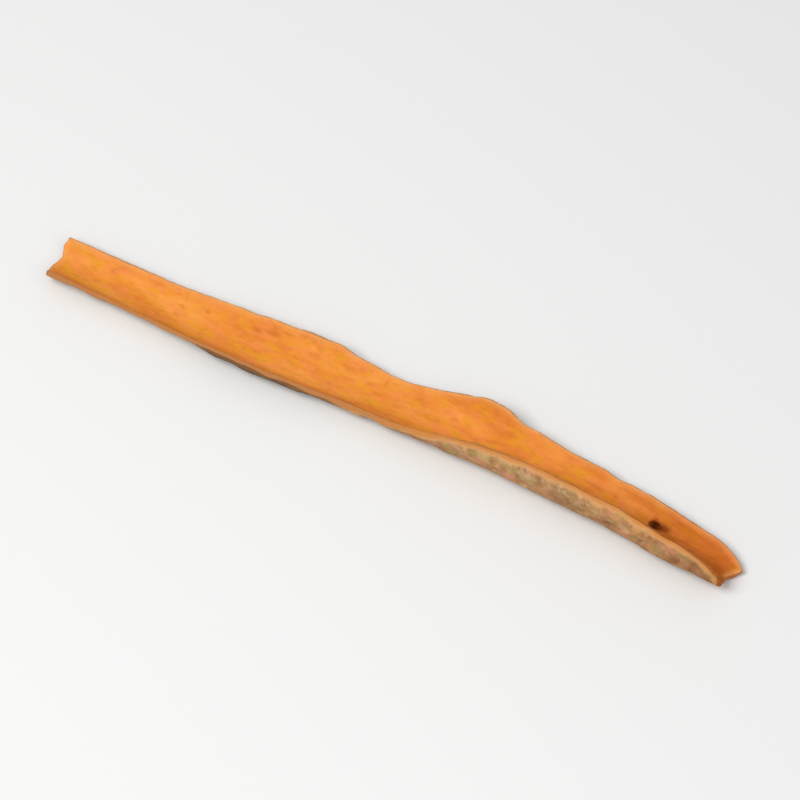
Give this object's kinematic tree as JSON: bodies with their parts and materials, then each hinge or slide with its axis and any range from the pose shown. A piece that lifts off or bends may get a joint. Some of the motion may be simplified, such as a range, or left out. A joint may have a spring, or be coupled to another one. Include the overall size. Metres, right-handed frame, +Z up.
{
  "type": "split cassia bark",
  "caption": "Stick of dried cassia bark, split open along its length into a shallow trough whose near edge curls over.",
  "frame": {"origin": "middle of the stick's footprint box, on the surface it lies on", "axes": "+Z up, with the trough open upwards; +X along the stick towards its broad, deeply curled end; the edge that curls over is on -Y"},
  "size_m": [0.2922, 0.032, 0.0194],
  "materials": {
    "bark": "dry, matt bark: orange-brown inside, grey-tan rind outside"
  },
  "bodies": {
    "root": {"bark_strip": "bark"}
  },
  "joints": []
}
